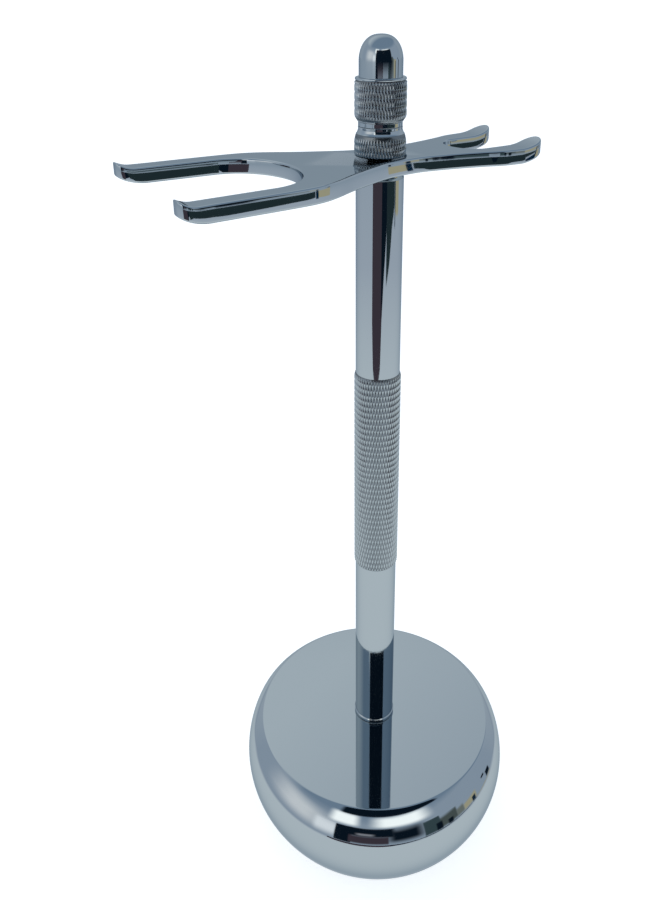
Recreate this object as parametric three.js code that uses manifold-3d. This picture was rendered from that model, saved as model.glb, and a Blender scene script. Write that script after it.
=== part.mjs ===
// Free-standing stand for a shaving brush and a razor: a weighted pebble-shaped base, a slim round post
// with a knurled grip, a two-ended fork and a knurled, domed finial that clamps it.
// Millimetres, +Z up. The origin is on the post's axis, at the underside of the base pad.
// The fork's long axis lies on X: the wide brush prongs point to -X, the narrow razor prongs to +X.
import * as THREE from "three";
import { mergeVertices } from "three/addons/utils/BufferGeometryUtils.js";
import Module from "manifold-3d";

const wasm = await Module();
wasm.setup();

// ---- Driving dimensions ----

const GAP = 0.3; // clearance between two pieces that touch
const BIG_SIDES = 48; // facets round the base
const MID_SIDES = 32; // facets round the post and the finial
const SMALL_SIDES = 24; // facets round fasteners and washers

// Base: a shell whose section is a flat top and four arcs that run on from each other. Each arc is
// given by its radius and by the slope of its outward normal where it ends, in degrees above level.
const PAD_PROUD = 0.8; // how far the pad stands below the shell's rim
const BASE_TOP = 26.3; // height of the flat top
const BASE_FLAT_R = 30.1;
const CORNER_ARC_R = 0.6;
const CORNER_END = 52;
const SHOULDER_ARC_R = 7.9;
const SHOULDER_END = 22;
const SIDE_ARC_R = 22.4;
const SIDE_END = -22.6;
const LOWER_ARC_R = 28.0; // runs down to the rim
const SHELL_WALL = 1.2;
const SCREW_HOLE_R = 2.8;

const PAD_R = 27.5;
const PAD_THICKNESS = 1.8;
const COVER_R = 27.6;
const COVER_THICKNESS = 1.5;
const WEIGHT_R = 27.4;
const WEIGHT_CHAMFER = 1.5;
const COUNTERBORE_R = 6.5;
const COUNTERBORE_DEPTH = 9.0;

// Screw that holds the post on the base
const SCREW_R = 2.4;
const SCREW_HEAD_R = 4.3;
const SCREW_HEAD_HEIGHT = 3.6;
const SCREW_ABOVE_TOP = 13.0;
const SOCKET_R = 2.2;
const SOCKET_DEPTH = 2.0;
const WASHER_R = 5.5;
const WASHER_THICKNESS = 1.2;
const LOCK_WASHER_R = 4.6;
const LOCK_WASHER_THICKNESS = 1.3;
const LOCK_WASHER_SPLIT = 1.0;

// Three countersunk screws that hold the cover on the weight
const COVER_SCREW_PITCH_R = 18.0;
const COVER_SCREW_R = 1.5;
const COVER_SCREW_HEAD_R = 2.7;
const COVER_SCREW_LENGTH = 6.0;

// Post
const POST_R = 5.0;
const POST_BORE_R = 3.9;
const FOOT_WASHER_R = 4.8;
const FOOT_WASHER_THICKNESS = 0.4;
const FOOT_FLARE = 0.2; // how far the foot stands out
const FOOT_HEIGHT = 0.8;
const GRIP_R = 5.3;
const GRIP_BOTTOM = 50.1; // above the base's flat top
const GRIP_TOP = 102.3;
const GRIP_SHOULDER = 0.9; // height of the grip's top chamfer
const POST_CHAMFER = 0.4;
const LOWER_PLUG_LENGTH = 18.0;
const UPPER_PLUG_LENGTH = 14.0;

// Fork
const FORK_TOP = 151.2; // above the base's flat top
const FORK_THICKNESS = 3.2;
const FORK_WASHER_THICKNESS = 0.5;
const FORK_WASHER_R = 4.6;
const FORK_HOLE_R = 2.9;
const FORK_LIP_ROOM = 4.0; // room above the flat plate for its raised ends
const OUTLINE_SEGMENTS = 10; // segments of each curve in the fork's outline
const CUT_MARGIN = 1.0; // how far a cutting body reaches past what it cuts

// Finial
const STUD_R = 2.4;
const STUD_BELOW_POST_TOP = 12.0;
const STUD_ABOVE_FORK = 15.0;
const NUT_BARREL_R = 5.3;
const NUT_BARREL_HEIGHT = 2.3;
const NUT_SHOULDER_R = 4.9; // where the barrel's shoulder meets the neck
const NUT_SHOULDER_HEIGHT = 1.9;
const NECK_R = 4.55;
const NECK_HEIGHT = 1.4;
const FINIAL_WASHER_THICKNESS = 0.4;
const FINIAL_WASHER_R = 4.5;
const COLLAR_R = 5.25;
const COLLAR_HEIGHT = 8.1;
const COLLAR_CHAMFER = 0.9; // height of the collar's lower edge
const COLLAR_LEDGE = 0.7; // height of the ledge under the dome
const DOME_R = 4.4;
const DOME_STRAIGHT = 2.8; // height of the dome's cylindrical lower part
const DOME_END_HEIGHT = 5.0; // height of its round end
const DOME_POWER = 0.8; // 1 would make the round end an ellipse; less makes it blunter
const KNOB_BORE_ABOVE_STUD = 1.0;
const DOME_STEPS = 7;

// ---- Levels that follow from them ----

const RIM_Z = PAD_PROUD;
const SHELL_INSIDE_TOP = BASE_TOP - SHELL_WALL;
const COVER_Z = PAD_THICKNESS + GAP;
const WEIGHT_Z = COVER_Z + COVER_THICKNESS + GAP;
const WEIGHT_TOP = SHELL_INSIDE_TOP - GAP;
const COUNTERBORE_TOP = WEIGHT_Z + COUNTERBORE_DEPTH;
const POST_Z = BASE_TOP + FOOT_WASHER_THICKNESS + 2 * GAP;
const FORK_Z = BASE_TOP + FORK_TOP - FORK_THICKNESS;
const POST_TOP = FORK_Z - FORK_WASHER_THICKNESS - 2 * GAP;
const NUT_Z = BASE_TOP + FORK_TOP + GAP;
const NUT_TOP = NUT_Z + NUT_BARREL_HEIGHT + NUT_SHOULDER_HEIGHT + NECK_HEIGHT;
const KNOB_Z = NUT_TOP + FINIAL_WASHER_THICKNESS + 2 * GAP;
const DOME_HEIGHT = DOME_STRAIGHT + DOME_END_HEIGHT;
const STUD_TOP = BASE_TOP + FORK_TOP + STUD_ABOVE_FORK;

// ---- Materials ----

const CHROME = { color: 0xc9ced4, roughness: 0.06, metalness: 1 };
const STEEL = { color: 0xa9abad, roughness: 0.32, metalness: 1 };
const IRON = { color: 0x4a4b4d, roughness: 0.65, metalness: 0.8 };
const BRASS = { color: 0xb99a55, roughness: 0.3, metalness: 1 };
const RUBBER = { color: 0x1d1e20, roughness: 0.85, metalness: 0 };
const NYLON = { color: 0xd9d8d2, roughness: 0.5, metalness: 0 };

const stand = new THREE.Group();

function piece(name, geometry, look) {
  const mesh = new THREE.Mesh(geometry, new THREE.MeshStandardMaterial(look));
  mesh.name = name;
  stand.add(mesh);
  return mesh;
}

// ---- Shape helpers ----

// A closed ring or solid turned round Z from [radius, height] points, listed counter-clockwise
// when the radius runs to the right and the height runs up.
function turned(points, sides) {
  const closed = points[0][0] > 0 || points[points.length - 1][0] > 0;
  const outline = points.map(([r, z]) => new THREE.Vector2(r, z));
  if (closed) {
    outline.push(outline[0].clone());
  }
  const geometry = new THREE.LatheGeometry(outline, sides);
  geometry.rotateX(Math.PI / 2);
  return geometry;
}

// A plain ring from an inner to an outer radius.
function ring(innerR, outerR, z, height, sides = SMALL_SIDES) {
  return turned(
    [
      [innerR, z],
      [outerR, z],
      [outerR, z + height],
      [innerR, z + height],
    ],
    sides,
  );
}

function toSolid(geometry) {
  const bare = geometry.clone();
  bare.deleteAttribute("normal");
  bare.deleteAttribute("uv");
  const merged = mergeVertices(bare, 1e-4);
  return new wasm.Manifold(
    new wasm.Mesh({
      numProp: 3,
      vertProperties: merged.attributes.position.array,
      triVerts: new Uint32Array(merged.index.array),
    }),
  );
}

function toGeometry(solid) {
  const mesh = solid.getMesh();
  const geometry = new THREE.BufferGeometry();
  geometry.setAttribute("position", new THREE.BufferAttribute(mesh.vertProperties, 3));
  geometry.setIndex(new THREE.BufferAttribute(mesh.triVerts, 1));
  geometry.computeVertexNormals();
  return geometry;
}

function turnedSolid(points, sides) {
  return toSolid(turned(points, sides));
}

// A solid extruded upwards from an outline in the XY plane.
function prism(shape, z, height, curveSegments) {
  const geometry = new THREE.ExtrudeGeometry(shape, {
    depth: height,
    bevelEnabled: false,
    curveSegments,
  });
  geometry.translate(0, 0, z);
  return toSolid(geometry);
}

// ---- Base ----

const ARC_STEPS = [1, 5, 5, 3];

function radians(degrees) {
  return (degrees * Math.PI) / 180;
}

// The arcs of the shell's section from the flat top down to the rim.
function sectionArcs() {
  const arcs = [];
  const centre = new THREE.Vector2(BASE_FLAT_R, BASE_TOP - CORNER_ARC_R);
  let start = radians(90);
  let radius = CORNER_ARC_R;
  const follow = (end, nextRadius) => {
    arcs.push({ centre: centre.clone(), radius, start, end });
    const outward = new THREE.Vector2(Math.cos(end), Math.sin(end));
    centre.addScaledVector(outward, radius - nextRadius);
    start = end;
    radius = nextRadius;
  };
  follow(radians(CORNER_END), SHOULDER_ARC_R);
  follow(radians(SHOULDER_END), SIDE_ARC_R);
  follow(radians(SIDE_END), LOWER_ARC_R);
  arcs.push({ centre, radius, start, end: Math.asin((RIM_Z - centre.y) / radius) });
  return arcs;
}

// The shell's section from the rim up to the flat top, moved inwards by inset. An arc that is smaller than
// the inset vanishes, and the next one then starts where it meets the flat.
function section(inset, steps) {
  const points = [];
  const flatZ = BASE_TOP - inset;
  sectionArcs().forEach(({ centre, radius, start, end }, arc) => {
    const reach = radius - inset;
    if (reach <= 0) {
      return;
    }
    const first = Math.min(start, Math.asin(Math.min(1, (flatZ - centre.y) / reach)));
    for (let i = points.length === 0 ? 0 : 1; i <= steps[arc]; i += 1) {
      const angle = first + ((end - first) * i) / steps[arc];
      points.push([centre.x + reach * Math.cos(angle), centre.y + reach * Math.sin(angle)]);
    }
  });
  return points.reverse();
}

function makeBaseShell() {
  const lipR = COVER_R + GAP;
  const points = [
    [lipR, RIM_Z],
    ...section(0, ARC_STEPS),
    [SCREW_HOLE_R, BASE_TOP],
    [SCREW_HOLE_R, SHELL_INSIDE_TOP],
    ...section(SHELL_WALL, ARC_STEPS).reverse(),
    [lipR, RIM_Z + SHELL_WALL],
  ];
  piece("base_shell", turned(points, BIG_SIDES), CHROME);
}

// The three places round the axis where the cover screws go.
function coverScrewPlaces() {
  return [0, 1, 2].map((i) => {
    const angle = radians(90 + i * 120);
    return [COVER_SCREW_PITCH_R * Math.cos(angle), COVER_SCREW_PITCH_R * Math.sin(angle)];
  });
}

// A countersunk screw's shape, head down, or the hole for it when grown by a clearance.
function countersunk(grow) {
  const neckZ = COVER_Z + (COVER_SCREW_HEAD_R - COVER_SCREW_R);
  return turnedSolid(
    [
      [0, COVER_Z - grow],
      [COVER_SCREW_HEAD_R + grow, COVER_Z - grow],
      [COVER_SCREW_HEAD_R + grow, COVER_Z + grow / 2],
      [COVER_SCREW_R + grow, neckZ + grow / 2],
      [COVER_SCREW_R + grow, COVER_Z + COVER_SCREW_LENGTH + grow],
      [0, COVER_Z + COVER_SCREW_LENGTH + grow],
    ],
    SMALL_SIDES / 2,
  );
}

function makeBaseInside() {
  let weight = turnedSolid(
    [
      [COUNTERBORE_R, WEIGHT_Z],
      [WEIGHT_R, WEIGHT_Z],
      [WEIGHT_R, WEIGHT_TOP - WEIGHT_CHAMFER],
      [WEIGHT_R - WEIGHT_CHAMFER, WEIGHT_TOP],
      [SCREW_HOLE_R, WEIGHT_TOP],
      [SCREW_HOLE_R, COUNTERBORE_TOP],
      [COUNTERBORE_R, COUNTERBORE_TOP],
    ],
    BIG_SIDES,
  );
  let cover = turnedSolid(
    [
      [0, COVER_Z],
      [COVER_R, COVER_Z],
      [COVER_R, COVER_Z + COVER_THICKNESS],
      [0, COVER_Z + COVER_THICKNESS],
    ],
    BIG_SIDES,
  );
  const hole = countersunk(GAP);
  coverScrewPlaces().forEach(([x, y], i) => {
    weight = weight.subtract(hole.translate([x, y, 0]));
    cover = cover.subtract(hole.translate([x, y, 0]));
    const screw = piece(`cover_screw_${i + 1}`, toGeometry(countersunk(0)), STEEL);
    screw.position.set(x, y, 0);
  });
  piece("base_weight", toGeometry(weight), IRON);
  piece("base_cover", toGeometry(cover), STEEL);
  const pad = turned(
    [
      [0, 0],
      [PAD_R, 0],
      [PAD_R, PAD_THICKNESS],
      [0, PAD_THICKNESS],
    ],
    BIG_SIDES,
  );
  piece("base_pad", pad, RUBBER);
}

// The socket-head screw that comes up through the base, with its two washers under the head.
function makeBaseScrew() {
  const washerZ = COUNTERBORE_TOP - GAP - WASHER_THICKNESS;
  const lockZ = washerZ - GAP - LOCK_WASHER_THICKNESS;
  const headTop = lockZ - GAP;
  const headZ = headTop - SCREW_HEAD_HEIGHT;
  const holeR = SCREW_R + GAP;

  const socket = new THREE.CylinderGeometry(SOCKET_R, SOCKET_R, 2 * SOCKET_DEPTH, 6);
  socket.rotateX(Math.PI / 2);
  socket.translate(0, 0, headZ);
  const screw = turnedSolid(
    [
      [0, headZ],
      [SCREW_HEAD_R, headZ],
      [SCREW_HEAD_R, headTop],
      [SCREW_R, headTop],
      [SCREW_R, BASE_TOP + SCREW_ABOVE_TOP],
      [0, BASE_TOP + SCREW_ABOVE_TOP],
    ],
    SMALL_SIDES,
  ).subtract(toSolid(socket));
  piece("base_screw", toGeometry(screw), STEEL);
  piece("base_washer", ring(holeR, WASHER_R, washerZ, WASHER_THICKNESS), STEEL);

  const split = new THREE.BoxGeometry(LOCK_WASHER_SPLIT, LOCK_WASHER_R, 2 * LOCK_WASHER_THICKNESS);
  split.translate(0, LOCK_WASHER_R, lockZ + LOCK_WASHER_THICKNESS / 2);
  const lockWasher = toSolid(ring(holeR, LOCK_WASHER_R, lockZ, LOCK_WASHER_THICKNESS));
  piece("lock_washer", toGeometry(lockWasher.subtract(toSolid(split))), STEEL);
}

// ---- Post ----

function makePost() {
  const washerZ = BASE_TOP + GAP;
  piece("foot_washer", ring(SCREW_HOLE_R, FOOT_WASHER_R, washerZ, FOOT_WASHER_THICKNESS), NYLON);
  const gripBottom = BASE_TOP + GRIP_BOTTOM;
  const gripTop = BASE_TOP + GRIP_TOP;
  const post = turned(
    [
      [POST_BORE_R, POST_Z],
      [POST_R, POST_Z],
      [POST_R + FOOT_FLARE, POST_Z + FOOT_FLARE],
      [POST_R + FOOT_FLARE, POST_Z + FOOT_HEIGHT],
      [POST_R, POST_Z + FOOT_HEIGHT + FOOT_FLARE],
      [POST_R, gripBottom],
      [GRIP_R, gripBottom],
      [GRIP_R, gripTop - GRIP_SHOULDER],
      [POST_R, gripTop],
      [POST_R, POST_TOP - POST_CHAMFER],
      [POST_R - POST_CHAMFER, POST_TOP],
      [POST_BORE_R, POST_TOP],
    ],
    MID_SIDES,
  );
  piece("post", post, CHROME);
  const plugR = POST_BORE_R - GAP;
  piece("post_lower_plug", ring(SCREW_R + GAP, plugR, POST_Z, LOWER_PLUG_LENGTH), BRASS);
  const upperZ = POST_TOP - UPPER_PLUG_LENGTH;
  piece("post_upper_plug", ring(STUD_R + GAP, plugR, upperZ, UPPER_PLUG_LENGTH), BRASS);
}

// ---- Fork ----

// One long edge of the fork seen from above, from the razor prong's tip to the brush prong's tip,
// as [distance along X, half width].
const FORK_EDGE = [
  [28.8, 11.2],
  [24.2, 10.7],
  [20.2, 9.4],
  [15, 8.0],
  [10, 7.0],
  [5, 6.5],
  [-2, 7.5],
  [-7.7, 9.8],
  [-13.5, 12.6],
  [-18.8, 15.6],
  [-23.2, 17.3],
  [-29, 18.0],
  [-43.5, 18.8],
];
const BRUSH_TIP_X = -50.0;
const BRUSH_TIP_HALF = 19.2;
const BRUSH_CORNER_R = 1.8;
const BRUSH_GAP_HALF = 13.8; // where the straight inside edges start
const BRUSH_GAP_TIP_HALF = 14.6;
const BRUSH_GAP_CENTRE_X = -31;
const BRUSH_GAP_DEPTH = 11.0; // from the centre to the bottom of the gap
const RAZOR_TIP_X = 34.6;
const RAZOR_GAP_HALF = 5.9;
const RAZOR_GAP_CENTRE_X = 22.6;
const RAZOR_GAP_DEPTH = 4.8;
const RAZOR_TIP_CENTRE_X = 32.0;

// At each end the plate's upper and lower faces leave the flat and follow an arc upwards
const BRUSH_LIP = { tipX: BRUSH_TIP_X, upperX: -46.5, upperR: 6.0, lowerX: -43.5, lowerR: 10.5 };
const RAZOR_LIP = { tipX: RAZOR_TIP_X, upperX: 28.3, upperR: 12.0, lowerX: 28.0, lowerR: 11.0 };
const LIP_STEPS = 5;

// The fork's outline from above, run round counter-clockwise from the razor gap.
function forkOutline() {
  const prongHalf = (FORK_EDGE[0][1] - RAZOR_GAP_HALF) / 2;
  const prongMid = RAZOR_GAP_HALF + prongHalf;
  const upperEdge = FORK_EDGE.map(([x, y]) => new THREE.Vector2(x, y));
  const lowerEdge = FORK_EDGE.map(([x, y]) => new THREE.Vector2(x, -y)).reverse();
  const corner = BRUSH_CORNER_R;
  const shape = new THREE.Shape();
  shape.moveTo(RAZOR_GAP_CENTRE_X, RAZOR_GAP_HALF);
  shape.lineTo(RAZOR_TIP_CENTRE_X, RAZOR_GAP_HALF);
  shape.absellipse(
    RAZOR_TIP_CENTRE_X, prongMid, RAZOR_TIP_X - RAZOR_TIP_CENTRE_X, prongHalf,
    -Math.PI / 2, Math.PI / 2, false, 0,
  );
  shape.lineTo(upperEdge[0].x, upperEdge[0].y);
  shape.splineThru(upperEdge.slice(1));
  shape.lineTo(BRUSH_TIP_X + corner, BRUSH_TIP_HALF);
  shape.absarc(BRUSH_TIP_X + corner, BRUSH_TIP_HALF - corner, corner, Math.PI / 2, Math.PI, false);
  shape.absarc(BRUSH_TIP_X + corner, BRUSH_GAP_TIP_HALF + corner, corner, Math.PI, 1.5 * Math.PI, false);
  shape.lineTo(BRUSH_GAP_CENTRE_X, BRUSH_GAP_HALF);
  shape.absellipse(
    BRUSH_GAP_CENTRE_X, 0, BRUSH_GAP_DEPTH, BRUSH_GAP_HALF, Math.PI / 2, -Math.PI / 2, true, 0,
  );
  shape.lineTo(BRUSH_TIP_X + corner, -BRUSH_GAP_TIP_HALF);
  shape.absarc(BRUSH_TIP_X + corner, -BRUSH_GAP_TIP_HALF - corner, corner, Math.PI / 2, Math.PI, false);
  shape.absarc(BRUSH_TIP_X + corner, -BRUSH_TIP_HALF + corner, corner, Math.PI, 1.5 * Math.PI, false);
  shape.lineTo(lowerEdge[0].x, lowerEdge[0].y);
  shape.splineThru(lowerEdge.slice(1));
  shape.lineTo(RAZOR_TIP_CENTRE_X, -FORK_EDGE[0][1]);
  shape.absellipse(
    RAZOR_TIP_CENTRE_X, -prongMid, RAZOR_TIP_X - RAZOR_TIP_CENTRE_X, prongHalf,
    -Math.PI / 2, Math.PI / 2, false, 0,
  );
  shape.lineTo(RAZOR_GAP_CENTRE_X, -RAZOR_GAP_HALF);
  shape.absellipse(
    RAZOR_GAP_CENTRE_X, 0, RAZOR_GAP_DEPTH, RAZOR_GAP_HALF, -Math.PI / 2, -1.5 * Math.PI, true, 0,
  );
  return shape;
}

// One face's line at a raised end, seen from the side, from where it leaves the flat to past the tip.
function lipLine(tipX, startX, radius, z) {
  const points = [];
  const reach = tipX + Math.sign(tipX) * CUT_MARGIN - startX;
  for (let i = 0; i <= LIP_STEPS; i += 1) {
    const along = (reach * i) / LIP_STEPS;
    points.push([startX + along, z + radius - Math.sqrt(radius ** 2 - along ** 2)]);
  }
  return points;
}

// The plate seen from the side: flat, with both ends raised and cut off upright.
function forkSideSolid() {
  const topZ = FORK_Z + FORK_THICKNESS;
  const outline = [];
  outline.push(...lipLine(BRUSH_LIP.tipX, BRUSH_LIP.lowerX, BRUSH_LIP.lowerR, FORK_Z).reverse());
  outline.push(...lipLine(RAZOR_LIP.tipX, RAZOR_LIP.lowerX, RAZOR_LIP.lowerR, FORK_Z));
  outline.push(...lipLine(RAZOR_LIP.tipX, RAZOR_LIP.upperX, RAZOR_LIP.upperR, topZ).reverse());
  outline.push(...lipLine(BRUSH_LIP.tipX, BRUSH_LIP.upperX, BRUSH_LIP.upperR, topZ));
  const side = new THREE.Shape(outline.map(([x, z]) => new THREE.Vector2(x, z)));
  const width = 2 * (BRUSH_TIP_HALF + CUT_MARGIN);
  const geometry = new THREE.ExtrudeGeometry(side, { depth: width, bevelEnabled: false });
  geometry.rotateX(Math.PI / 2);
  geometry.translate(0, width / 2, 0);
  return toSolid(geometry);
}

function makeFork() {
  const cutBottom = FORK_Z - CUT_MARGIN;
  const cutTop = FORK_Z + FORK_THICKNESS + CUT_MARGIN;
  const plan = prism(forkOutline(), cutBottom, FORK_LIP_ROOM + cutTop - cutBottom, OUTLINE_SEGMENTS);
  const hole = turnedSolid(
    [
      [0, cutBottom],
      [FORK_HOLE_R, cutBottom],
      [FORK_HOLE_R, cutTop],
      [0, cutTop],
    ],
    SMALL_SIDES,
  );
  piece("fork", toGeometry(plan.intersect(forkSideSolid()).subtract(hole)), CHROME);
}

// ---- Clamp and finial ----

function makeClamp() {
  const stud = turned(
    [
      [0, POST_TOP - STUD_BELOW_POST_TOP],
      [STUD_R, POST_TOP - STUD_BELOW_POST_TOP],
      [STUD_R, STUD_TOP],
      [0, STUD_TOP],
    ],
    SMALL_SIDES,
  );
  piece("fork_stud", stud, STEEL);
  const boreR = STUD_R + GAP;
  piece("fork_washer", ring(boreR, FORK_WASHER_R, POST_TOP + GAP, FORK_WASHER_THICKNESS), CHROME);

  const shoulderZ = NUT_Z + NUT_BARREL_HEIGHT;
  const neckZ = shoulderZ + NUT_SHOULDER_HEIGHT;
  const nut = turned(
    [
      [boreR, NUT_Z],
      [NUT_BARREL_R, NUT_Z],
      [NUT_BARREL_R, shoulderZ],
      [NUT_SHOULDER_R, neckZ],
      [NECK_R, neckZ + NECK_HEIGHT / 2],
      [NECK_R, NUT_TOP],
      [boreR, NUT_TOP],
    ],
    MID_SIDES,
  );
  piece("clamp_nut", nut, CHROME);
}

// The dome's side, straight and then rounded, from its foot up to just short of its top.
function domeProfile(footZ) {
  const points = [[DOME_R, footZ]];
  for (let i = 0; i < DOME_STEPS; i += 1) {
    const angle = (i / DOME_STEPS) * (Math.PI / 2);
    const r = DOME_R * Math.cos(angle) ** DOME_POWER;
    points.push([r, footZ + DOME_STRAIGHT + DOME_END_HEIGHT * Math.sin(angle)]);
  }
  return points;
}

function makeFinial() {
  const boreR = STUD_R + GAP;
  const washerZ = NUT_TOP + GAP;
  piece("finial_washer", ring(boreR, FINIAL_WASHER_R, washerZ, FINIAL_WASHER_THICKNESS), CHROME);

  const collarTop = KNOB_Z + COLLAR_HEIGHT;
  const domeFoot = collarTop + COLLAR_LEDGE;
  const boreTop = STUD_TOP + KNOB_BORE_ABOVE_STUD;
  const knob = turned(
    [
      [0, boreTop],
      [boreR, boreTop],
      [boreR, KNOB_Z],
      [NECK_R, KNOB_Z],
      [COLLAR_R, KNOB_Z + COLLAR_CHAMFER],
      [COLLAR_R, collarTop],
      ...domeProfile(domeFoot),
      [0, domeFoot + DOME_HEIGHT],
    ],
    MID_SIDES,
  );
  piece("finial_knob", knob, CHROME);
}

makeBaseShell();
makeBaseInside();
makeBaseScrew();
makePost();
makeFork();
makeClamp();
makeFinial();

export default stand;
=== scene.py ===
import math

import bmesh
import bpy
import numpy as np
from mathutils import Matrix, Vector


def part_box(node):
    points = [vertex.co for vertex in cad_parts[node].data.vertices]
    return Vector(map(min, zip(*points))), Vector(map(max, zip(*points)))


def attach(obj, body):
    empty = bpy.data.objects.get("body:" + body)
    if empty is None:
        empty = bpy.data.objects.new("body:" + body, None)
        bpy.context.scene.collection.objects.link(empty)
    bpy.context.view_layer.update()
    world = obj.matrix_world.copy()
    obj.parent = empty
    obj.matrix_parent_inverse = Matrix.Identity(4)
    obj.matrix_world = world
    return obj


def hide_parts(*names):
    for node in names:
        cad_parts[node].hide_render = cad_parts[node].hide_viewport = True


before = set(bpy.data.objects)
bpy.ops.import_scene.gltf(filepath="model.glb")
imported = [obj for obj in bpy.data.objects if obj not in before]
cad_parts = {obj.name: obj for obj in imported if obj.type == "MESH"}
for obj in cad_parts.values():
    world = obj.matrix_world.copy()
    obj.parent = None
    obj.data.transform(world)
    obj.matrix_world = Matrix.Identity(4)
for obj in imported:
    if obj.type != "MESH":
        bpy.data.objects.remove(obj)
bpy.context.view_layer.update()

MM = 0.001
GAP = 0.3 * MM  # clearance between two CAD pieces that touch

# ---- Mesh helpers ----

ROUND_SIDES = 192  # facets round a smooth turned piece
SUPPORT = 0.02 * MM  # distance from a softened corner to the ring that keeps its flat side flat
STRAIGHT = math.radians(172)  # a corner more open than this is left as it is
MOST_OF_SIDE = 0.45  # share of a side's length that a rounded corner may take up
ON_AXIS = 1e-9  # a smaller radius than this counts as none
MERGE_DISTANCE = 1e-7  # points closer than this count as one


def arc(centre, radius, start, end, steps):
    """Points on an arc in the (radius, height) plane; the angles are in degrees above level."""
    points = []
    for i in range(steps + 1):
        angle = math.radians(start + (end - start) * i / steps)
        points.append((centre[0] + radius * math.cos(angle), centre[1] + radius * math.sin(angle)))
    return points


def soften(points, fillet, closed=True, steps=4):
    """A section with every corner rounded. A point may carry its own fillet as a third value."""
    count = len(points)
    result = []
    for i, point in enumerate(points):
        corner = Vector(point[:2])
        if not closed and i in (0, count - 1):
            result.append(tuple(corner))
            continue
        before = Vector(points[i - 1][:2]) - corner
        after = Vector(points[(i + 1) % count][:2]) - corner
        wanted = point[2] if len(point) > 2 else fillet
        opening = before.angle(after)
        if wanted <= 0 or opening > STRAIGHT:
            result.append(tuple(corner))
            continue
        shorter = min(before.length, after.length)
        reach = min(wanted / math.tan(opening / 2), MOST_OF_SIDE * shorter)
        radius = reach * math.tan(opening / 2)
        u = before.normalized()
        v = after.normalized()
        centre = corner + (u + v).normalized() * (radius / math.sin(opening / 2))
        start = corner + u * reach
        end = corner + v * reach
        result.append(tuple(start + u * min(SUPPORT, 0.1 * before.length)))
        first = math.atan2(start.y - centre.y, start.x - centre.x)
        turn = math.remainder(math.atan2(end.y - centre.y, end.x - centre.x) - first, 2 * math.pi)
        for k in range(steps + 1):
            angle = first + turn * k / steps
            result.append((centre.x + radius * math.cos(angle), centre.y + radius * math.sin(angle)))
        result.append(tuple(end + v * min(SUPPORT, 0.1 * after.length)))
    return result


def new_object(name, vertices, faces):
    mesh = bpy.data.meshes.new(name)
    mesh.from_pydata([tuple(v) for v in vertices], [], faces)
    mesh.validate()
    mesh.update()
    return add_object(name, mesh)


def add_object(name, mesh):
    obj = bpy.data.objects.new(name, mesh)
    bpy.context.scene.collection.objects.link(obj)
    fix_normals(obj)
    return obj


def fix_normals(obj):
    bm = bmesh.new()
    bm.from_mesh(obj.data)
    bmesh.ops.recalc_face_normals(bm, faces=bm.faces)
    for face in bm.faces:
        face.smooth = True
    bm.to_mesh(obj.data)
    bm.free()


def turned(name, section, sides=ROUND_SIDES):
    """A closed section of (radius, height) points turned round Z. Points on the axis become poles."""
    vertices = []
    rings = []
    for r, z in section:
        if r < ON_AXIS:
            rings.append([len(vertices)])
            vertices.append((0, 0, z))
            continue
        rings.append(list(range(len(vertices), len(vertices) + sides)))
        for k in range(sides):
            angle = 2 * math.pi * k / sides
            vertices.append((r * math.cos(angle), r * math.sin(angle), z))
    open_on_axis = len(rings[0]) == 1 and len(rings[-1]) == 1
    faces = []
    last = len(rings) - 1 if open_on_axis else len(rings)
    for i in range(last):
        a = rings[i]
        b = rings[(i + 1) % len(rings)]
        for k in range(sides):
            n = (k + 1) % sides
            if len(a) == 1:
                faces.append((a[0], b[n], b[k]))
            elif len(b) == 1:
                faces.append((a[k], a[n], b[0]))
            else:
                faces.append((a[k], a[n], b[n], b[k]))
    return new_object(name, vertices, faces)


# ---- Knurling ----

KNURL_STEPS = 8  # mesh steps across one diamond
KNURL_LAND = 0.72  # share of a diamond's height at which its point is flattened
# Height along one diamond, from 0 at its edges to 1 in its middle
RISE = np.array([2 * min(k, KNURL_STEPS - k) / KNURL_STEPS for k in range(KNURL_STEPS)])


def knurl_height(i, j):
    """Height of the knurled surface from 0 in a groove to 1 on a diamond, at lattice place (i, j)."""
    height = np.minimum(RISE[(i + j) % KNURL_STEPS], RISE[(i - j) % KNURL_STEPS])
    return np.minimum(height / KNURL_LAND, 1.0)


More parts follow.
